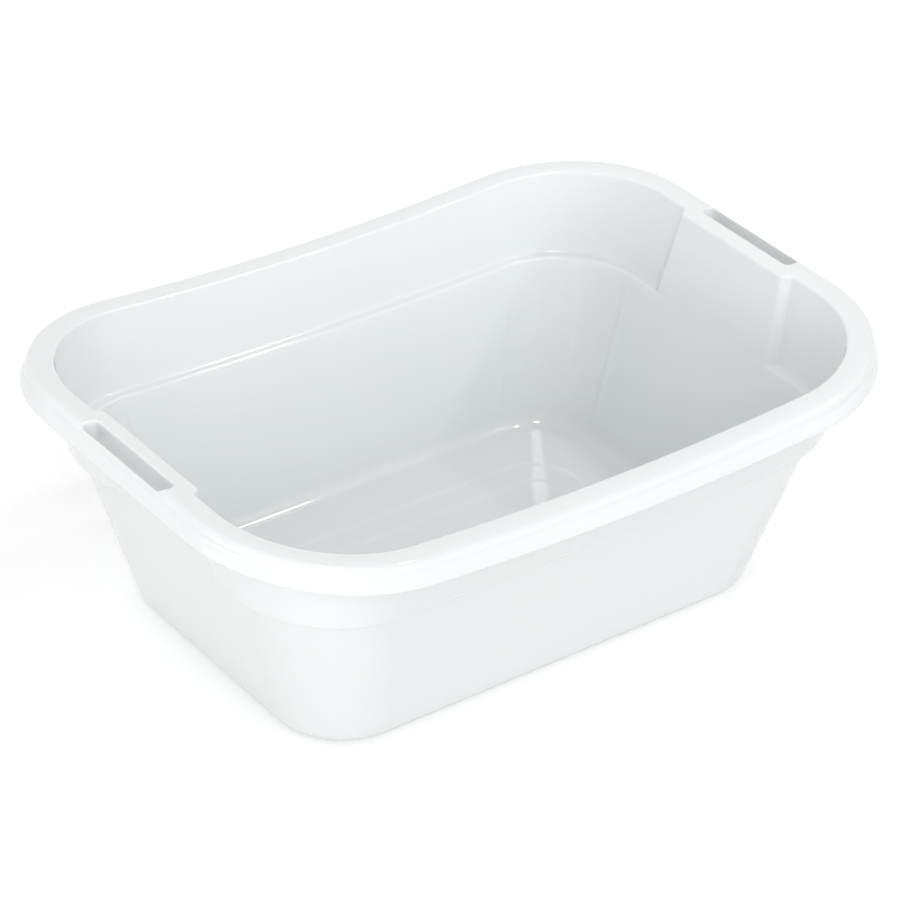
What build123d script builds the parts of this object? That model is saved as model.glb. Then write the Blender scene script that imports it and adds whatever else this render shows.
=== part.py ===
"""Washing up bowl: a rectangular moulded plastic bowl with a saddle shaped rim and two grip slots.

Millimetres, +Z up. X runs along the bowl, Y across it. The origin is on the surface that the
bowl stands on, under the middle of its floor.
"""
from build123d import *
import os
from math import sqrt

# The rim, seen from above: its lip is the outermost line of the bowl.
lip_length = 385.0
lip_width = 273.4
lip_corner = 78.0
rim_width = 16.0            # from the inner edge of the rim out to the lip

# Heights. The rim and the ledge are saddles: high at the ends, low along the middle of the sides.
rim_end_height = 138.7      # top of the rim at the two short ends
rim_sag = 12.5
ledge_drop = 48.4           # from the top of the rim at its ends down to the ledge
ledge_sag = 5.5

# The base and the walls
base_length = 273.6
base_width = 180.0
base_corner = 35.7
short_wall_lean_share = 0.753   # of the way that a short wall leans out, the part below the ledge
long_wall_lean_share = 0.692
ledge_corner = 49.0
ledge_out = 4.6
ledge_radius = 1.5
wall = 2.2
base_edge_radius = 8.4
floor_edge_radius = 8.0

# The floor: a foot runs round under its edge, and its middle lies lower in two shallow steps.
floor_thick = 2.2
foot_height = 2.0
foot_width = 4.0
step_drop = 0.8
outer_step_length = 214.0
outer_step_width = 114.0
outer_step_corner = 26.0
inner_step_length = 190.0
inner_step_width = 86.0
inner_step_corner = 14.0

# The section of the rim: a rounded bead, a groove below it and a lip that flares out.
rim_wall = 2.0
bead_inset = 2.8
bead_radius = 4.0
groove_drop = 5.6           # from the top of the bead down to the groove
flare_height = 5.3
lip_drop = 12.6             # from the top of the bead down to the lower edge of the lip
inner_edge_radius = 1.2

# The handles: between the corners the wall steps in, and a slot leaves a bar to hold.
handle_half_width = 39.5
step_round_share = 0.4      # of the step's width, taken by the radius of each of its two edges
bar_width = 8.7
slot_length = 66.0
slot_outer_inset = 3.7      # from the lip in to the outer side of the slot
slot_corner = 3.0
collar_wall = 1.8
collar_drop = 10.5          # from the top of the rim down to the lower edge of the collar
handle_piece_width = 90.0   # the stretch of the rim that each handle takes up

# How far a cutting solid runs past what it cuts
overrun = 20.0

half_length = lip_length / 2
half_width = lip_width / 2
rim_middle_height = rim_end_height - rim_sag
ledge_end_height = rim_end_height - ledge_drop
ledge_middle_height = ledge_end_height - ledge_sag

# The outer faces lean out from the base to under the rim's inner edge. The ledge adds to that.
short_lean = half_length - rim_width + wall - ledge_out - base_length / 2
long_lean = half_width - rim_width + wall - ledge_out - base_width / 2
lower_slope_short = short_wall_lean_share * short_lean / ledge_end_height
lower_slope_long = long_wall_lean_share * long_lean / ledge_middle_height


def saddle_height(x, middle_height, sag):
    """Height of a saddle surface at a distance x from the middle of the bowl."""
    radius = (half_length ** 2 + sag ** 2) / (2 * sag)
    return middle_height + radius - sqrt(radius ** 2 - x ** 2)


def below_saddle(middle_height, sag):
    """Everything under a saddle surface, down past the floor."""
    reach = half_length + overrun
    end_height = saddle_height(reach, middle_height, sag)
    with BuildPart() as block:
        with BuildSketch(Plane.XZ):
            with BuildLine():
                surface = ThreePointArc((-reach, end_height), (0, middle_height), (reach, end_height))
                Polyline(surface @ 1, (reach, -overrun), (-reach, -overrun), surface @ 0)
            make_face()
        extrude(amount=half_width + overrun, both=True)
    return block.part


def lower_half_length(height):
    return base_length / 2 + lower_slope_short * height


def lower_half_width(height):
    return base_width / 2 + lower_slope_long * height


def ledge_line(thin):
    """Where a short wall meets the ledge: its distance from the middle, and its height."""
    x = half_length
    for _ in range(20):
        height = saddle_height(x, ledge_middle_height + thin, ledge_sag)
        x = lower_half_length(height) - thin
    return x, height


# The slopes of the outer faces above the ledge, which end under the inner edge of the rim
ledge_end_x, ledge_end_z = ledge_line(0)
ledge_middle_y = lower_half_width(ledge_middle_height)
upper_slope_short = (half_length - rim_width + wall - ledge_end_x - ledge_out) / (
    rim_end_height - ledge_end_z)
upper_slope_long = (half_width - rim_width + wall - ledge_middle_y - ledge_out) / (
    rim_middle_height - ledge_middle_height)
upper_corner_slope = (lip_corner - rim_width + wall - ledge_corner - ledge_out) / (
    rim_end_height - ledge_end_z)


def lower_form(thin, floor_height):
    """The body from its floor to the ledge, drawn in by thin on every side."""
    top = ledge_end_height + overrun
    corner_slope = (ledge_corner - base_corner) / ledge_end_height
    with BuildPart() as form:
        for height in (floor_height, top):
            with BuildSketch(Plane.XY.offset(height)):
                RectangleRounded(
                    2 * (lower_half_length(height) - thin),
                    2 * (lower_half_width(height) - thin),
                    base_corner + corner_slope * height - thin,
                )
        loft(ruled=True)
        add(below_saddle(ledge_middle_height + thin, ledge_sag), mode=Mode.INTERSECT)
    return form.part


def upper_form(thin):
    """The body above the ledge, drawn in by thin, with the wall stepped in behind each handle."""
    bottom = ledge_middle_height - overrun
    top = rim_end_height + overrun
    line_x, line_z = ledge_line(thin)
    step_y = handle_half_width - wall / 2 + thin
    with BuildPart() as form:
        for height in (bottom, top):
            end_rise = height - ledge_end_z
            side_rise = height - ledge_middle_height
            with BuildSketch(Plane.XY.offset(height)):
                RectangleRounded(
                    2 * (ledge_end_x + ledge_out + upper_slope_short * end_rise - thin),
                    2 * (ledge_middle_y + ledge_out + upper_slope_long * side_rise - thin),
                    ledge_corner + ledge_out + upper_corner_slope * end_rise - thin,
                )
        loft(ruled=True)
        with BuildSketch(Plane.XZ):
            for side in (-1, 1):
                with BuildLine():
                    Polyline(
                        (side * (line_x + upper_slope_short * (bottom - line_z)), bottom),
                        (side * (line_x + upper_slope_short * (top - line_z)), top),
                        (side * (half_length + overrun), top),
                        (side * (half_length + overrun), bottom),
                        close=True,
                    )
                make_face()
        extrude(amount=step_y, both=True, mode=Mode.SUBTRACT)
        step_edges = form.edges().filter_by(
            lambda edge: abs(abs((edge @ 0.5).Y) - step_y) < wall / 2 and abs((edge % 0.5).Z) > 0.5)
        outer_x = ledge_end_x + ledge_out + upper_slope_short * (line_z - ledge_end_z) - thin
        step_width = (outer_x - line_x) / sqrt(1 + upper_slope_short ** 2)
        fillet(step_edges, radius=step_round_share * step_width)
        add(below_saddle(ledge_middle_height + thin, ledge_sag), mode=Mode.SUBTRACT)
    return form.part


def body_form(thin, floor_height, floor_radius):
    """The whole body as one solid, drawn in by thin, with rounded edges."""
    with BuildPart() as form:
        add(lower_form(thin, floor_height))
        add(upper_form(thin))

        def on_ledge(edge):
            middle = edge @ 0.5
            level = saddle_height(middle.X, ledge_middle_height + thin, ledge_sag)
            return abs(middle.Z - level) < ledge_radius / 10 and abs(middle.Y) > handle_half_width / 2

        fillet(form.edges().filter_by(on_ledge), radius=ledge_radius)
        fillet(form.faces().sort_by(Axis.Z)[0].edges(), radius=floor_radius)
    return form.part


def floor_steps(floor_height):
    """The two steps by which the middle of the floor hangs below its edge."""
    with BuildPart() as steps:
        for depth, size in (
            (step_drop, (outer_step_length, outer_step_width, outer_step_corner)),
            (2 * step_drop, (inner_step_length, inner_step_width, inner_step_corner)),
        ):
            with BuildSketch(Plane.XY.offset(floor_height)):
                RectangleRounded(*size)
            extrude(amount=-depth)
    return steps.part


# The flare of the lip starts a little way inside the bead, so that the two run into each other.
flare_slope = flare_height / bead_inset
flare_root = rim_wall / 2


def rim_form(thin):
    """The rim as one solid, drawn in by thin: the bead on top, and the lip flaring out below it."""
    with BuildPart() as bead:
        with BuildSketch(Plane.XY):
            RectangleRounded(
                2 * (half_length - bead_inset - thin),
                2 * (half_width - bead_inset - thin),
                lip_corner - bead_inset - thin,
            )
        extrude(amount=rim_end_height + overrun)
        add(below_saddle(rim_middle_height - thin, rim_sag), mode=Mode.INTERSECT)
        fillet(bead.faces().sort_by(Axis.Z)[-1].edges(), radius=bead_radius - thin)
    with BuildPart() as lip:
        with BuildSketch(Plane.XY):
            RectangleRounded(
                2 * (half_length - thin), 2 * (half_width - thin), lip_corner - thin)
        extrude(amount=rim_end_height + overrun)
        add(below_saddle(rim_middle_height - groove_drop + flare_slope * flare_root, rim_sag),
            mode=Mode.INTERSECT)
        top_face = lip.faces().sort_by(Axis.Z)[-1]
        chamfer(
            top_face.edges(),
            length=bead_inset + flare_root,
            length2=flare_slope * (bead_inset + flare_root),
            reference=top_face,
        )
    with BuildPart() as form:
        add(bead.part)
        add(lip.part)
    return form.part


cavity_floor = foot_height + floor_thick
with BuildPart() as cavity:
    add(body_form(wall, cavity_floor, floor_edge_radius))
    add(floor_steps(cavity_floor))

# The tub: the floor, the walls and the ledge, up to the underside of the rim
foot_inset = base_edge_radius + foot_width
with BuildPart() as tub:
    add(body_form(0, 0, base_edge_radius))
    add(below_saddle(rim_middle_height - rim_wall, rim_sag), mode=Mode.INTERSECT)
    with BuildSketch(Plane.XY):
        RectangleRounded(
            base_length - 2 * foot_inset, base_width - 2 * foot_inset, base_corner - foot_inset)
    extrude(amount=foot_height, mode=Mode.SUBTRACT)
    add(floor_steps(foot_height))
    add(cavity.part, mode=Mode.SUBTRACT)

# The rim all the way round: a top plate that ends at the wall's inner face, and the skirt under it
rim_hollow = rim_form(rim_wall)
with BuildPart() as plain_rim:
    add(rim_form(0))
    add(below_saddle(rim_middle_height - lip_drop, rim_sag), mode=Mode.SUBTRACT)
    add(rim_hollow, mode=Mode.SUBTRACT)
    add(cavity.part, mode=Mode.SUBTRACT)
    top_face = plain_rim.faces().sort_by(SortBy.AREA)[-2:].sort_by(Axis.Z)[-1]
    fillet(top_face.inner_wires()[0].edges(), radius=inner_edge_radius)

# The slot of each handle starts one bar's width out from the wall's inner face.
wall_line_x, wall_line_z = ledge_line(wall)
inner_edge_z = saddle_height(half_length - rim_width, rim_middle_height, rim_sag)
bar_inner_x = wall_line_x + upper_slope_short * (inner_edge_z - wall_line_z)
slot_inner_x = bar_inner_x + bar_width
slot_outer_x = half_length - slot_outer_inset
slot_width = slot_outer_x - slot_inner_x
slot_places = Locations(*[(side * (slot_inner_x + slot_outer_x) / 2, 0) for side in (-1, 1)])

# The collar turns down round three sides of a slot. The skirt closes the fourth.
with BuildPart() as collars:
    with BuildSketch(Plane.XY):
        with slot_places:
            RectangleRounded(
                slot_width + 2 * collar_wall, slot_length + 2 * collar_wall, slot_corner + collar_wall)
    extrude(amount=rim_end_height)
    add(rim_hollow, mode=Mode.INTERSECT)
    add(below_saddle(rim_middle_height - collar_drop, rim_sag), mode=Mode.SUBTRACT)

with BuildPart() as whole_rim:
    add(plain_rim.part)
    add(collars.part)
    with BuildSketch(Plane.XY):
        with slot_places:
            RectangleRounded(slot_width, slot_length, slot_corner)
    extrude(amount=rim_end_height, mode=Mode.SUBTRACT)


def rim_stretch(low, high):
    """A block that holds the rim between two corners, as seen from above."""
    with BuildPart() as block:
        with BuildSketch(Plane.XY):
            with Locations(((low[0] + high[0]) / 2, (low[1] + high[1]) / 2)):
                Rectangle(high[0] - low[0], high[1] - low[1])
        extrude(amount=rim_end_height + overrun)
    return block.part


# The two handles are the middles of the short sides, and the rest of the rim is cut between them.
handle_y = handle_piece_width / 2
far_x = half_length + overrun
far_y = half_width + overrun

with BuildPart() as rim_front:
    add(whole_rim.part)
    add(rim_stretch((-far_x, -far_y), (far_x, -handle_y)), mode=Mode.INTERSECT)

with BuildPart() as rim_back:
    add(whole_rim.part)
    add(rim_stretch((-far_x, handle_y), (far_x, far_y)), mode=Mode.INTERSECT)

with BuildPart() as handle_left:
    add(whole_rim.part)
    add(rim_stretch((-far_x, -handle_y), (0, handle_y)), mode=Mode.INTERSECT)

with BuildPart() as handle_right:
    add(whole_rim.part)
    add(rim_stretch((0, -handle_y), (far_x, handle_y)), mode=Mode.INTERSECT)

tub.part.label = "tub"
rim_front.part.label = "rim_front"
rim_back.part.label = "rim_back"
handle_left.part.label = "handle_left"
handle_right.part.label = "handle_right"

os.makedirs("parts", exist_ok=True)
export_step(tub.part, "parts/tub.step")
export_step(rim_front.part, "parts/rim_front.step")
export_step(rim_back.part, "parts/rim_back.step")
export_step(handle_left.part, "parts/handle_left.step")
export_step(handle_right.part, "parts/handle_right.step")
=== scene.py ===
"""Looks of the washing up bowl: one glossy white moulding, lit softly on a pale floor."""
import math

import bmesh
import bpy
from mathutils import Matrix, Vector


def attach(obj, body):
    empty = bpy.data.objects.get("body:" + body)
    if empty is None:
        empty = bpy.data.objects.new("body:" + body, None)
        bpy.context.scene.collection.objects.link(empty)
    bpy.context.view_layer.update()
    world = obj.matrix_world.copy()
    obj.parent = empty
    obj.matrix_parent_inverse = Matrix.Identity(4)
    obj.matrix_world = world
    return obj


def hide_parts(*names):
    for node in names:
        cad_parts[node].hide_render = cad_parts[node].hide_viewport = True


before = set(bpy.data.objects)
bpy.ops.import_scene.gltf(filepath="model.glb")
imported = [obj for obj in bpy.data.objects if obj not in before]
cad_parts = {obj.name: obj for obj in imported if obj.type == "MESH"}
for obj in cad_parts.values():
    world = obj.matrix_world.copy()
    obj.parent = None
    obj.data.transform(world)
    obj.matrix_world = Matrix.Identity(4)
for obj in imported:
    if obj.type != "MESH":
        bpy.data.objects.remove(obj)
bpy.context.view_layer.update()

# The section of the moulding. The real bowl is one piece of injection moulded polypropylene, about
# 2 mm thick all over. Each ring below is the bowl's outline at one point of its section: the floor,
# the inside of the wall, the rim, the outside of the wall and the underside, in that order.
mm = 0.001  # the moulding's sizes are in millimetres until they are multiplied by this
lip_x, lip_y, lip_r = 192.5, 136.7, 78.0  # half length, half width, corner
rim_z, rim_sag = 126.2, 12.5  # height at the middle of the long sides, and how far it dips there
ledge_z, ledge_sag, ledge_out = 84.8, 5.5, 4.6
base_x, base_y, base_r = 136.8, 90.0, 35.7  # half length, half width, corner
lean_x, lean_y, lean_r = 0.311, 0.231, 0.147  # how much these grow with each unit of height
wall = 2.2
floor_top, floor_under = 4.2, 0.0
foot_round_inside, foot_round_outside = 8.0, 8.4
rim_inner = 16.3  # from the lip's edge to the inner edge of the rim
handle_inset = 4.4
# Half the handle's width, how much wider it is at the ledge, and half the width of its step.
handle_half, handle_drift, handle_blend = 39.5, 2.4, 2.6
corner_ridge = 0.22
ledge_reach = 164.0     # how far from the middle the ledge meets the end walls
rim_end_share = 0.84    # the share of its sag that the rim has where the end walls meet it


def ring(x, y, r, z_end, z_side, sag=0.0, spread=0.0, inset=0.0, half=handle_half):
    """Half length, half width, corner, two heights, and how the ring sags, spreads and steps in."""
    return {
        "ridge": (0.0, 0.0, 0.0),
        "plan": (x * mm, y * mm, r * mm),
        "level": (z_end * mm, z_side * mm, sag * mm),
        "handle": (inset * mm, half * mm, spread * mm),
    }


def rim_ring(d, rise, handle=0.0, half=handle_half):
    """A ring of the rim, a distance d in from the lip's edge."""
    z = rim_z + rise
    return ring(lip_x - d, lip_y - d, lip_r - d, z, z, rim_sag, 0.0, handle, half)


def between(a, b, t):
    """The ring a share t of the way from ring a to ring b."""
    return {key: tuple(p + (q - p) * t for p, q in zip(a[key], b[key])) for key in a}


def floor_step(x, y, r, z, rise, width, count):
    """A shallow step in the floor, as an S that rises outwards."""
    found = []
    for k in range(count + 1):
        t = k / count
        d = width * (t - 0.5)
        level = z + rise * t * t * (3 - 2 * t)
        found.append(ring(x + d, y + d, r + d, level, level))
    return found


def wall_rings(thin, floor_z, radius, top):
    """One face of the wall from the rounding at its foot up to the ring called top."""
    found = []
    foot_steps, bend_steps, upper_steps, least_corner = 8, 6, 6, 1.0
    turn_x = math.pi / 2 - math.atan(lean_x)
    turn_y = math.pi / 2 - math.atan(lean_y)
    start_x = base_x + lean_x * floor_z - thin - radius * math.tan(turn_x / 2)
    start_y = base_y + lean_y * floor_z - thin - radius * math.tan(turn_y / 2)
    start_r = base_r - thin - radius * math.tan(turn_x / 2)
    for k in range(foot_steps + 1):
        a, b = turn_x * k / foot_steps, turn_y * k / foot_steps
        found.append(ring(
            start_x + radius * math.sin(a), start_y + radius * math.sin(b),
            max(least_corner, start_r + radius * math.sin(a)),
            floor_z + radius * (1 - math.cos(a)), floor_z + radius * (1 - math.cos(b))))
    # The ledge is an S of two arcs with a short flat between them, worked out by its tangent angle.
    bend, first, flat_angle, last = 1.9, math.radians(75), math.radians(8), math.radians(78)
    flat_run = 2.1
    run = []
    for k in range(bend_steps + 1):
        a = first + (flat_angle - first) * k / bend_steps
        run.append((bend * (math.sin(first) - math.sin(a)), bend * (math.cos(a) - math.cos(first))))
    x = run[-1][0] + flat_run * math.cos(flat_angle)
    z = run[-1][1] + flat_run * math.sin(flat_angle)
    for k in range(bend_steps + 1):
        a = flat_angle + (last - flat_angle) * k / bend_steps
        run.append((x + bend * (math.sin(a) - math.sin(flat_angle)),
                    z + bend * (math.cos(flat_angle) - math.cos(a))))
    rise, reach = run[-1][1], run[-1][0]
    middle = ledge_z + thin
    end_z = middle + ledge_sag * (ledge_reach / lip_x) ** 2
    line_x = base_x + lean_x * end_z - thin
    line_y = base_y + lean_y * middle - thin
    line_r = base_r + lean_r * end_z - thin
    rim_end_z = rim_z + rim_sag * rim_end_share
    upper_x = (top["plan"][0] / mm - line_x - ledge_out) / (rim_end_z - end_z)
    upper_y = (top["plan"][1] / mm - line_y - ledge_out) / (rim_z - middle)
    half = handle_half + handle_drift
    s_rings = []
    for out, up in run:
        share = out / reach
        dz = up - rise / 2
        low_x, high_x = line_x - lean_x * rise / 2, line_x + ledge_out + upper_x * rise / 2
        low_y, high_y = line_y - lean_y * rise / 2, line_y + ledge_out + upper_y * rise / 2
        here_x = low_x + (high_x - low_x) * share
        straight = line_x + (lean_x if dz < 0 else upper_x) * dz
        s_rings.append(ring(
            here_x, low_y + (high_y - low_y) * share, line_r + ledge_out * share,
            middle + dz, middle + dz, ledge_sag, lean_y * ledge_sag, here_x - straight, half))
    lower_shares = (0.04, 0.12, 0.3, 0.5, 0.7, 0.88, 0.96)
    lower = [between(found[-1], s_rings[0], t) for t in lower_shares]
    for r in lower[1:-1]:
        r["ridge"] = (corner_ridge * mm if thin else 0.0, 0.0, 0.0)
    found += lower + s_rings
    for k in range(1, upper_steps):
        found.append(between(s_rings[-1], top, k / upper_steps))
    found.append(top)
    return found


# The floor hangs in two shallow steps, so its middle is the lowest part.
step_rise, step_width, under_step_width = 0.8, 3.2, 2.0
floor_low, floor_mid, under_low, under_mid = 2.6, 3.4, 0.4, 1.2
middle_patch = (60, 16, 8)  # half length, half width, corner
inner_step, outer_step = (95, 43), (107, 57)  # half length, half width
step_rings, under_step_rings = 7, 6
rings = [ring(*middle_patch, floor_low, floor_low)]
rings += floor_step(*inner_step, 14, floor_low, step_rise, step_width, step_rings)
rings += floor_step(*outer_step, 26, floor_mid, step_rise, step_width, step_rings)
edge = 1.35
inner_half, outer_half = handle_half + 0.4, handle_half - 0.8
inner_top = rim_ring(rim_inner, -1.25 * edge, handle_inset, inner_half)
rings += wall_rings(wall, floor_top, foot_round_inside, inner_top)
# The top of the rim: a small rounding, a slightly crowned plate, and the bead that turns down.
for degrees in (12, 32, 52, 71, 90):
    a = math.radians(degrees)
    rings.append(rim_ring(rim_inner - edge * (1 - math.cos(a)), edge * (math.sin(a) - 1),
                          handle_inset, inner_half))
bead_start, bead_radius = 6.8, 4.0
plate = [  # distance from the lip, height, handle inset
    (13.9, 0.16, 4.0),
    (12.7, 0.27, 3.5),
    (11.5, 0.33, 2.85),
    (10.6, 0.35, 2.24),
    (9.8, 0.34, 1.6),
    (9.0, 0.3, 1.0),
    (8.2, 0.2, 0.4),
    (7.5, 0.09, 0.0),
]
plate_rings_before_slot = 3
slot_top_first = len(rings) + plate_rings_before_slot
for d, v, inset in plate:
    rings.append(rim_ring(d, v, inset))
for degrees in (0, 15, 29, 43, 58.2, 69, 80, 90):
    a = math.radians(degrees)
    rings.append(rim_ring(bead_start - bead_radius * math.sin(a), bead_radius * (math.cos(a) - 1)))
slot_rows = 9
slot_top_last = slot_top_first + slot_rows
# Below the bead a steep face and a groove, then the lip flares out, ends and turns up inside.
outside = [  # distance from the lip, height
    (2.78, -4.6), (2.72, -5.1), (2.58, -5.6), (2.36, -6.1), (2.1, -6.62),
    (1.2, -8.4), (0.42, -10.0), (0.12, -10.75), (0.01, -11.35), (0.0, -11.8),
    (0.1, -12.2), (0.34, -12.47), (0.7, -12.58), (1.25, -12.58), (1.62, -12.46),
    (1.88, -12.15), (1.98, -11.6),
]
for d, v in outside:
    rings.append(rim_ring(d, v))
slot_under_first = len(rings)
under = [  # distance from the lip, height, handle inset
    (2.3, -10.3, 0.0), (3.5, -8.05, 0.0), (4.7, -5.6, 0.0), (4.88, -3.6, 0.0), (5.4, -2.6, 0.0),
    (6.8, -2.0, 0.0), (8.3, -2.0, 0.0), (9.5, -2.0, 0.6), (10.6, -2.0, 1.4), (11.3, -2.0, 2.54),
]
for d, v, inset in under:
    rings.append(rim_ring(d, v, inset))
slot_under_last = len(rings) - 1
outer_inset = rim_inner - wall
under_wall = [  # the same, where the rim's underside turns down into the wall
    (12.4, -2.0, 3.9), (outer_inset - 0.9, -2.0, handle_inset),
    (outer_inset - 0.27, -2.27, handle_inset),
]
for d, v, inset in under_wall:
    rings.append(rim_ring(d, v, inset, outer_half))
outer_top = rim_ring(outer_inset, -2.95, handle_inset, outer_half)
rings += reversed(wall_rings(0.0, floor_under, foot_round_outside, outer_top))
# The bowl stands on a foot that runs round under the edge of its floor.
foot = [  # half length, half width, height
    (124.9, 77.9, 0.0), (124.6, 77.6, 0.1), (124.4, 77.4, 0.4), (124.3, 77.3, 1.4),
    (124.1, 77.1, 1.8), (123.6, 76.6, 2.0),
]
foot_x, foot_in = 124.4, 12.4  # where the foot stands, and how far that is inside the base
for x, y, z in foot:
    rings.append(ring(x, y, base_r - foot_in + (x - foot_x), z, z))
rings += reversed(floor_step(*outer_step, 22, under_mid, step_rise, under_step_width,
                             under_step_rings))
rings += reversed(floor_step(*inner_step, 14, under_low, step_rise, under_step_width,
                             under_step_rings))
rings.append(ring(*middle_patch, under_low, under_low))

# The plan of the moulding: where its columns stand round the bowl. They are close together beside
# the handles, where the wall steps in, and at the ends of the grip slots.
core_y = lip_y - lip_r
slot_reach = 34.2
slot_stops = [0, 6, 12, 18, 23, 27, 29.6, 31.4, 32.6, 33.5, slot_reach]
step_stops = [35.4 + 0.8 * k for k in range(13)] + [47.0, 50.0, 54.0]
stops = [-s for s in reversed(step_stops)] + [-s for s in reversed(slot_stops[1:])]
stops += slot_stops + step_stops
slot_start = stops.index(-slot_reach)
columns = []  # the core's x and y, the side's x and y, and how far the corner's ridge is raised
slot_columns = {}
long_half = 13
# A faint ridge runs down the inside of the wall at both ends of each corner.
near_end = [(0.0, 0.0), (0.6, 0.5), (1.2, 1.0), (2.4, 1.0), (3.6, 1.0), (4.2, 0.5), (4.8, 0.0)]
turns = near_end + [(a, 0.0) for a in (6.2, 8, 10, 12.5, 15.5, 19, 22.5, 26, 30, 34, 38, 42)]
turns += [(90 - a, raised) for a, raised in reversed(turns)]
for sign in (1, -1):
    for k in range(long_half + 1):
        columns.append((sign * k / long_half, -sign, 0.0, -sign, 0.0))
    for degrees, raised in turns[1:]:
        a = math.radians(degrees - 90)
        columns.append((sign, -sign, sign * math.cos(a), sign * math.sin(a), raised))
    slot_columns[sign] = len(columns) + slot_start
    for s in stops:
        columns.append((sign, sign * s / core_y, sign, 0.0, 0.0))
    for degrees, raised in turns:
        a = math.radians(degrees)
        columns.append((sign, sign, sign * math.cos(a), sign * math.sin(a), raised))
    for k in range(1, long_half):
        columns.append((sign * (1 - k / long_half), sign, 0.0, sign, 0.0))
row_count, column_count = len(rings), len(columns)

# Sweeping the section round the bowl. The two lists go into a point mesh, and the node tree puts
# every corner of a plain tube where its ring and its column say.
lists = bpy.data.meshes.new("section_and_plan")
lists.from_pydata([(0.0, 0.0, 0.0)] * (row_count + column_count), [], [])


def put_list(name, values):
    """Keeps three numbers for each ring and each column on the point mesh."""
    data = lists.attributes.new(name, "FLOAT_VECTOR", "POINT")
    data.data.foreach_set("vector", [v for triple in values for v in triple])


for name in ("plan", "level", "handle", "ridge"):
    of_columns = [(c[4] if name == "ridge" else 0.0, 0.0, 0.0) for c in columns]
    put_list(name, [r[name] for r in rings] + of_columns)
for name, first in (("core", 0), ("side", 2)):
    of_columns = [(c[first], c[first + 1], 0.0) for c in columns]
    put_list(name, [(0.0, 0.0, 0.0)] * row_count + of_columns)

tree = bpy.data.node_groups.new("swept_moulding", "GeometryNodeTree")
face = tree.interface
face.new_socket("Section And Plan", in_out="INPUT", socket_type="NodeSocketGeometry")
for name, kind in (("Rings", "Int"), ("Columns", "Int"), ("Half Length", "Float"),
                   ("Corner Core", "Float"), ("Handle Blend", "Float")):
    face.new_socket(name, in_out="INPUT", socket_type=f"NodeSocket{kind}")
face.new_socket("Plastic", in_out="INPUT", socket_type="NodeSocketMaterial")
face.new_socket("Moulding", in_out="OUTPUT", socket_type="NodeSocketGeometry")
nodes, links = tree.nodes, tree.links
given = nodes.new("NodeGroupInput").outputs


def feed(node, inputs):
    """Gives a node's inputs a link or a value each."""
    for key, value in inputs.items():
        if isinstance(value, bpy.types.NodeSocket):
            links.new(value, node.inputs[key])
        else:
            node.inputs[key].default_value = value


def sum_of(operation, a, b=0.0, c=0.0):
    """One step of arithmetic in the tree being built."""
    node = nodes.new("ShaderNodeMath")
    node.operation = operation
    feed(node, {0: a, 1: b, 2: c})
    return node.outputs[0]


def parts_of(vector):
    """The three numbers of a vector."""
    node = nodes.new("ShaderNodeSeparateXYZ")
    links.new(vector, node.inputs[0])
    return node.outputs[0], node.outputs[1], node.outputs[2]


def read_list(name, index):
    """The three numbers that a list holds for one ring or one column."""
    value = nodes.new("GeometryNodeInputNamedAttribute")
    value.data_type = "FLOAT_VECTOR"
    value.inputs["Name"].default_value = name
    sample = nodes.new("GeometryNodeSampleIndex")
    sample.data_type = "FLOAT_VECTOR"
    links.new(given["Section And Plan"], sample.inputs["Geometry"])
    links.new(value.outputs["Attribute"], sample.inputs["Value"])
    links.new(index, sample.inputs["Index"])
    return parts_of(sample.outputs["Value"])


tube = nodes.new("GeometryNodeMeshCylinder")
tube.fill_type = "NGON"
feed(tube, {"Vertices": given["Columns"], "Side Segments": sum_of("SUBTRACT", given["Rings"], 1.0)})
index = nodes.new("GeometryNodeInputIndex").outputs[0]
row = sum_of("FLOOR", sum_of("DIVIDE", sum_of("ADD", index, 0.5), given["Columns"]))
column = sum_of("SUBTRACT", index, sum_of("MULTIPLY", row, given["Columns"]))
plan_x, plan_y, plan_r = read_list("plan", row)
end_z, side_z, sag = read_list("level", row)
inset, half, spread = read_list("handle", row)
place = sum_of("ADD", column, given["Rings"])
core_at_x, core_at_y, _ = read_list("core", place)
side_x, side_y, _ = read_list("side", place)
ridge_height, _, _ = read_list("ridge", row)
ridge_here, _, _ = read_list("ridge", place)
raised = sum_of("MULTIPLY", ridge_height, ridge_here)
across = sum_of("MULTIPLY", sum_of("ABSOLUTE", core_at_y), given["Corner Core"])
blend = nodes.new("ShaderNodeMapRange")
blend.interpolation_type = "SMOOTHSTEP"
feed(blend, {"Value": across, "From Min": sum_of("SUBTRACT", half, given["Handle Blend"]),
             "From Max": sum_of("ADD", half, given["Handle Blend"]), "To Min": 1.0, "To Max": 0.0})
stepped = sum_of("MULTIPLY", sum_of("MULTIPLY", blend.outputs["Result"], inset), side_x)
core_length = sum_of("MULTIPLY", core_at_x, sum_of("SUBTRACT", plan_x, plan_r))
round_x = sum_of("MULTIPLY_ADD", side_x, plan_r, core_length)
at_x = sum_of("SUBTRACT", round_x, stepped)
bow = sum_of("POWER", sum_of("DIVIDE", sum_of("ABSOLUTE", at_x), given["Half Length"]), 2.0)
wide = sum_of("SUBTRACT", sum_of("MULTIPLY_ADD", spread, bow, plan_y), plan_r)
at_y = sum_of("MULTIPLY_ADD", side_y, plan_r, sum_of("MULTIPLY", core_at_y, wide))
end_share = sum_of("MULTIPLY", side_x, side_x)
level = sum_of("MULTIPLY_ADD", sum_of("SUBTRACT", end_z, side_z), end_share, side_z)
at_z = sum_of("MULTIPLY_ADD", sag, bow, level)
position = nodes.new("ShaderNodeCombineXYZ")
feed(position, {
    0: sum_of("SUBTRACT", at_x, sum_of("MULTIPLY", side_x, raised)),
    1: sum_of("SUBTRACT", at_y, sum_of("MULTIPLY", side_y, raised)),
    2: at_z,
})
put = nodes.new("GeometryNodeSetPosition")
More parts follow.
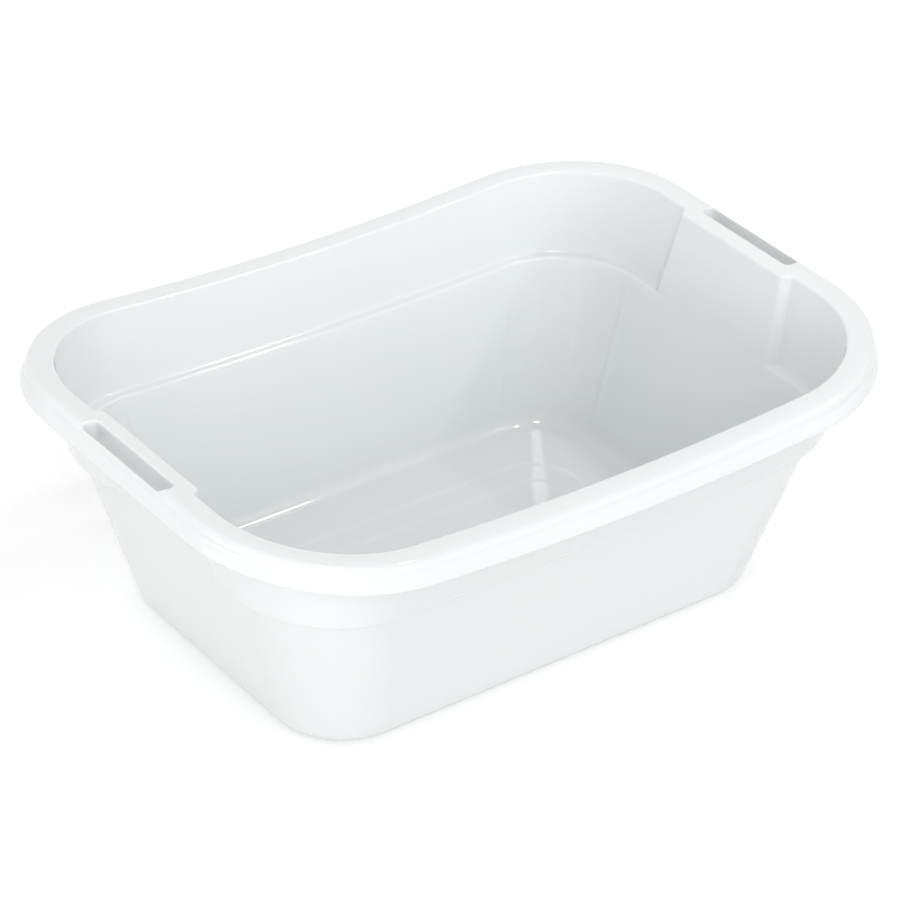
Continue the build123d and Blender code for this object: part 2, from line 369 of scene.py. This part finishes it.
feed(put, {"Geometry": tube.outputs["Mesh"], "Position": position.outputs[0]})
smooth = nodes.new("GeometryNodeSetShadeSmooth")
real = nodes.new("GeometryNodeRealizeInstances")
paint = nodes.new("GeometryNodeSetMaterial")
feed(smooth, {"Geometry": put.outputs[0]})
feed(real, {"Geometry": smooth.outputs[0]})
feed(paint, {"Geometry": real.outputs[0], "Material": given["Plastic"]})
links.new(paint.outputs[0], nodes.new("NodeGroupOutput").inputs[0])

# The plastic: plain white polypropylene with a high gloss. Close up a moulding is never quite even,
# so the gloss and the shade drift a little and the skin has a very fine ripple.
plastic = bpy.data.materials.new("white_polypropylene")
plastic.use_nodes = True
shader = plastic.node_tree
nodes, links = shader.nodes, shader.links
skin = nodes["Principled BSDF"]
skin.inputs["IOR"].default_value = 1.55
where = nodes.new("ShaderNodeTexCoord").outputs["Object"]


def drift(scale, detail, low, high):
    """A value that wanders between low and high over the surface."""
    noise = nodes.new("ShaderNodeTexNoise")
    feed(noise, {"Vector": where, "Scale": scale, "Detail": detail})
    spread_out = nodes.new("ShaderNodeMapRange")
    feed(spread_out, {"Value": noise.outputs[0], "From Min": 0.3, "From Max": 0.7,
                      "To Min": low, "To Max": high})
    return spread_out.outputs["Result"]


white, cooler_white = (0.80, 0.82, 0.82, 1), (0.785, 0.805, 0.808, 1)
shade = nodes.new("ShaderNodeMix")
shade.data_type = "RGBA"
first_colour, second_colour = 6, 7  # the sockets that take colours
feed(shade, {"Factor": drift(9.0, 3.0, 0.0, 1.0),
             first_colour: white, second_colour: cooler_white})
links.new(shade.outputs[2], skin.inputs["Base Color"])
links.new(drift(35.0, 4.0, 0.05, 0.085), skin.inputs["Roughness"])
ripple = nodes.new("ShaderNodeBump")
feed(ripple, {"Strength": 0.05, "Distance": 0.0003, "Height": drift(160.0, 2.0, 0.0, 1.0)})
links.new(ripple.outputs["Normal"], skin.inputs["Normal"])


def add(name, data):
    """A new object in the scene."""
    thing = bpy.data.objects.new(name, data)
    bpy.context.scene.collection.objects.link(thing)
    return thing


# The sweep runs once on the two lists, and what it makes is kept as a plain mesh.
carrier = add("carrier", lists)
sweep = carrier.modifiers.new("sweep", "NODES")
sweep.node_group = tree
chosen = {"Rings": row_count, "Columns": column_count, "Half Length": lip_x * mm,
          "Corner Core": core_y * mm, "Handle Blend": handle_blend * mm, "Plastic": plastic}
for item in face.items_tree:
    if item.item_type == "SOCKET" and item.in_out == "INPUT" and item.name in chosen:
        sweep[item.identifier] = chosen[item.name]
bpy.context.view_layer.update()
evaluated = carrier.evaluated_get(bpy.context.evaluated_depsgraph_get())
swept = bpy.data.meshes.new_from_object(evaluated)
bpy.data.objects.remove(carrier)

# The grip slots. Each end of the real rim has a slot for the fingers, with a collar that turns down
# round it, and its outer side takes the top of the rim away up to the crest of the skirt.
# From the bowl's middle to the slot's two long sides, half the slot's length, and its corners.
slot_in, slot_out, slot_half, slot_corner = 180.46, 188.8, 33.0, 3.0
# The rounding of the slot's edge, and of the crest, and the collar's thickness and depth.
slot_edge, crest_edge, collar, collar_drop = 0.7, 0.3, 1.8, 12.2
# Where the collar meets the skirt, the rounding of its hem, and the least height of its outside.
skirt_inside, hem_radius, least_rise = 190.2, 0.9, 0.15
edge_rows, wall_rows, hem_rows, outer_rows = 4, 6, 6, 3
plate_x = [lip_x - d - inset for d, v, inset in plate] + [lip_x - bead_start]
plate_v = [v for d, v, inset in plate] + [0.0]


def top_height(x):
    """Height of the rim's upper face over its saddle, at a distance x from the middle."""
    out = x - (lip_x - bead_start)
    if out >= 0:
        return math.sqrt(max(0.0, bead_radius ** 2 - out ** 2)) - bead_radius
    for k in range(len(plate_x) - 1):
        if x <= plate_x[k + 1]:
            t = max(0.0, (x - plate_x[k]) / (plate_x[k + 1] - plate_x[k]))
            return plate_v[k] + (plate_v[k + 1] - plate_v[k]) * t
    return 0.0


def rounded(p, q, low, high, reach, r_low, r_high):
    """A point on the outline of a rectangle, moved onto its rounded corner."""
    near_low = p < (low + high) / 2
    r = r_low if near_low else r_high
    if r == 0:
        return p, q
    centre_p = low + r if near_low else high - r
    side_p, side_q = (-1 if near_low else 1), (1 if q > 0 else -1)
    centre_q = side_q * (reach - r)
    past_p, past_q = side_p * (p - centre_p), side_q * (q - centre_q)
    if past_p <= 0 or past_q <= 0:
        return p, q
    on_end = abs(past_q - r) < 1e-6
    a = math.pi / 4 * (past_p / r if on_end else 2 - past_q / r)
    return centre_p + side_p * r * math.sin(a), centre_q + side_q * r * math.cos(a)


work = bmesh.new()
work.from_mesh(swept)
work.verts.ensure_lookup_table()
grid = list(work.verts)


def over(row_at, column_at):
    """The corner of the swept mesh at one ring and one column."""
    return grid[row_at * column_count + column_at]


def at_end(x, y, z):
    """A point of the slot being cut, which is the same at both ends after half a turn."""
    return Vector((sign * x, sign * y, z)) * mm


for sign, first_column in slot_columns.items():
    span = 2 * (len(slot_stops) - 1)
    centre_column = first_column + span // 2
    inner = set()
    for low, high in ((slot_top_first, slot_top_last), (slot_under_first, slot_under_last)):
        block = {over(i, first_column + j) for i in range(low, high + 1) for j in range(span + 1)}
        inner |= {f for v in block for f in v.link_faces if all(w in block for w in f.verts)}
    loops = {}
    for key, rows_in_order in (("top", range(slot_top_first, slot_top_last + 1)),
                               ("under", range(slot_under_last, slot_under_first - 1, -1))):
        rows_here = list(rows_in_order)
        loop = [(0, j) for j in range(span)]
        loop += [(i, span) for i in range(slot_rows)]
        loop += [(slot_rows, j) for j in range(span, 0, -1)]
        loop += [(i, 0) for i in range(slot_rows, 0, -1)]
        loops[key] = [(over(rows_here[i], first_column + j), i, j) for i, j in loop]
    bmesh.ops.delete(work, geom=list(inner), context="FACES_ONLY")
    top_steps = [abs(over(i, centre_column).co.x) / mm
                 for i in range(slot_top_first, slot_top_last + 1)]
    strips = []
    for (vert, i, j), (below, _, _) in zip(loops["top"], loops["under"]):
        q = stops[slot_start + j] / slot_reach
        p = (top_steps[i] - top_steps[0]) / (top_steps[-1] - top_steps[0])
        grown = rounded(
            slot_in - slot_edge + p * (slot_out + crest_edge - slot_in + slot_edge),
            q * (slot_half + slot_edge), slot_in - slot_edge, slot_out + crest_edge,
            slot_half + slot_edge, slot_corner + slot_edge, slot_corner + slot_edge)
        plain = rounded(
            slot_in + p * (slot_out - slot_in), q * slot_half, slot_in, slot_out, slot_half,
            slot_corner, slot_corner)
        saddle = rim_z + rim_sag * (grown[0] / lip_x) ** 2
        top_z = saddle + top_height(grown[0])
        vert.co = at_end(*grown, top_z)
        under_x, under_z = abs(below.co.x) / mm, below.co.z / mm
        outer = rounded(
            under_x, q * (slot_half + collar), slot_in - collar, skirt_inside,
            slot_half + collar, slot_corner + collar, 0)
        below.co = at_end(*outer, under_z)
        size = math.dist(grown, plain)
        strip = [vert]
        for k in range(1, edge_rows + 1):
            a = math.pi / 2 * k / edge_rows
            x = grown[0] + (plain[0] - grown[0]) * math.sin(a)
            y = grown[1] + (plain[1] - grown[1]) * math.sin(a)
            z = top_z - size * (1 - math.cos(a))
            strip.append(work.verts.new(at_end(x, y, z)))
        hem = saddle - collar_drop
        hem_round = min(hem_radius, math.dist(plain, outer) / 2)
        for k in range(1, wall_rows + 1):
            z = top_z - size + (hem + hem_round - top_z + size) * k / wall_rows
            strip.append(work.verts.new(at_end(*plain, z)))
        outer_end = min(hem + hem_round, under_z - least_rise)
        for k in range(1, hem_rows + 1):
            a = math.pi * k / hem_rows
            share = (1 - math.cos(a)) / 2
            x = plain[0] + (outer[0] - plain[0]) * share
            y = plain[1] + (outer[1] - plain[1]) * share
            if share < 0.5:
                z = hem + hem_round * (1 - math.sin(a))
            else:
                z = outer_end - (outer_end - hem) * math.sin(a)
            strip.append(work.verts.new(at_end(x, y, z)))
        for k in range(1, outer_rows):
            z = outer_end + (under_z - outer_end) * k / outer_rows
            strip.append(work.verts.new(at_end(*outer, z)))
        strip.append(below)
        strips.append(strip)
    for k, strip in enumerate(strips):
        after = strips[(k + 1) % len(strips)]
        for m in range(len(strip) - 1):
            new = work.faces.new((strip[m], strip[m + 1], after[m + 1], after[m]))
            new.smooth = True

loose = [v for v in work.verts if not v.link_faces]
bmesh.ops.delete(work, geom=loose, context="VERTS")
bmesh.ops.recalc_face_normals(work, faces=work.faces)
bowl_mesh = bpy.data.meshes.new("bowl")
work.to_mesh(bowl_mesh)
work.free()
bowl_mesh.materials.clear()
bowl_mesh.materials.append(plastic)
bowl = add("bowl", bowl_mesh)
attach(bowl, "root")
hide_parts("tub", "rim_front", "rim_back", "handle_left", "handle_right")

# The pale floor, a matt sheet. It reads as plain white round the bowl, straight and in the gloss,
# and keeps the bowl's soft shadow.
floor_half, floor_grey, floor_glow = 4.0, 0.7, 0.4
floor_mesh = bpy.data.meshes.new("floor")
floor_mesh.from_pydata([(-floor_half, -floor_half, 0), (floor_half, -floor_half, 0),
                        (floor_half, floor_half, 0), (-floor_half, floor_half, 0)],
                       [], [(0, 1, 2, 3)])
floor = add("floor", floor_mesh)
floor_paint = bpy.data.materials.new("pale_floor")
floor_paint.use_nodes = True
nodes, links = floor_paint.node_tree.nodes, floor_paint.node_tree.links
nodes.clear()
matt = nodes.new("ShaderNodeBsdfDiffuse")
glow = nodes.new("ShaderNodeEmission")
both = nodes.new("ShaderNodeAddShader")
matt.inputs["Color"].default_value = (floor_grey, floor_grey, floor_grey, 1)


def white_for_eye():
    """1 where the camera looks, straight, by a reflection or through something clear."""
    seen = nodes.new("ShaderNodeLightPath").outputs
    return sum_of("MAXIMUM", sum_of("MAXIMUM", seen["Is Camera Ray"], seen["Is Glossy Ray"]),
                  seen["Is Transmission Ray"])


feed(glow, {"Strength": sum_of("MULTIPLY", white_for_eye(), floor_glow)})
links.new(matt.outputs[0], both.inputs[0])
links.new(glow.outputs[0], both.inputs[1])
links.new(both.outputs[0], nodes.new("ShaderNodeOutputMaterial").inputs["Surface"])
floor_mesh.materials.append(floor_paint)

# Light: the room looks plain white, straight and in the gloss, and lights the bowl from low down,
# most of all from behind and from the front left. A key lamp hangs over the bowl, a long low one
# stands at its left, and two small ones at the right show as highlights in the gloss.
world = bpy.data.worlds.new("room")
bpy.context.scene.world = world
world.use_nodes = True
nodes, links = world.node_tree.nodes, world.node_tree.links
room = nodes["Background"]
room.inputs["Color"].default_value = (1, 1, 1, 1)
towards = nodes.new("ShaderNodeTexCoord").outputs["Generated"]
room_light = 0.03
bright_sides = [  # which way, how near to that way the light begins, strength
    ((0.0, -0.97, 0.24), 0.3, 0.64),
    ((0.0, -0.81, 0.58), 0.7, 0.7),
    ((-0.6, -0.78, 0.2), 0.6, 1.35),
    ((-0.97, 0.0, 0.24), 0.3, 0.15),
    ((0.97, 0.0, 0.24), 0.3, 0.42),
    ((0.0, 0.97, 0.24), 0.3, 1.5),
]
for axis, low, strength in bright_sides:
    facing = nodes.new("ShaderNodeVectorMath")
    facing.operation = "DOT_PRODUCT"
    feed(facing, {0: towards, 1: axis})
    side_light = nodes.new("ShaderNodeMapRange")
    side_light.interpolation_type = "SMOOTHSTEP"
    feed(side_light, {"Value": facing.outputs["Value"], "From Min": low, "To Max": strength})
    room_light = sum_of("ADD", side_light.outputs["Result"], room_light)
# The first of the two strengths lights the bowl, and the second is what the eye sees.
seen_or_lit = nodes.new("ShaderNodeMix")
feed(seen_or_lit, {0: white_for_eye(), 2: room_light, 3: 1.0})
links.new(seen_or_lit.outputs[0], room.inputs["Strength"])
bowl_middle = Vector((0, 0, 0.08))
lamps = [  # name, place, size, power
    ("key_lamp", (-0.03, -0.29, 1.4), (0.2, 0.2), 2.5),
    ("low_lamp", (-1.3, -0.3, 0.16), (1.8, 0.3), 4.9),
    ("small_lamp_back", (0.62, 0.13, 1.24), (0.06, 0.06), 1.1),
    ("small_lamp_front", (0.9, -0.61, 0.97), (0.06, 0.06), 1.3),
]
for name, at, size, power in lamps:
    lamp = bpy.data.lights.new(name, "AREA")
    lamp.shape = "RECTANGLE"
    lamp.size, lamp.size_y = size
    lamp.energy = power
    holder = add(name, lamp)
    holder.location = at
    towards_bowl = bowl_middle - Vector(at)
    holder.rotation_euler = towards_bowl.to_track_quat("-Z", "Y").to_euler()

# The camera stands where the photograph was taken from, worked out from the bowl's own outline.
azimuth, elevation, roll = math.radians(-38.2954), math.radians(32.6797), math.radians(2.7639)
distance, focal, picture = 1.78780, 3691.92, 900
middle_x, middle_y = 449.74, 446.67
target = Vector((-0.000373, 0.000294, 0.076737))
back = Vector((math.sin(azimuth) * math.cos(elevation), -math.cos(azimuth) * math.cos(elevation),
               math.sin(elevation)))
right = Vector((math.cos(azimuth), math.sin(azimuth), 0))
up = back.cross(right)
turned_right = math.cos(roll) * right + math.sin(roll) * up
turned_up = math.cos(roll) * up - math.sin(roll) * right
camera_data = bpy.data.cameras.new("camera")
camera = add("camera", camera_data)
turn = Matrix((turned_right, turned_up, back)).transposed().to_4x4()
camera.matrix_world = Matrix.Translation(target + back * distance) @ turn
camera_data.sensor_width = 36.0
camera_data.lens = focal / picture * camera_data.sensor_width
camera_data.shift_x = (picture / 2 - middle_x) / picture
camera_data.shift_y = (middle_y - picture / 2) / picture
camera_data.clip_end = 20.0
bpy.context.scene.camera = camera
bpy.context.scene.view_settings.view_transform = "Standard"
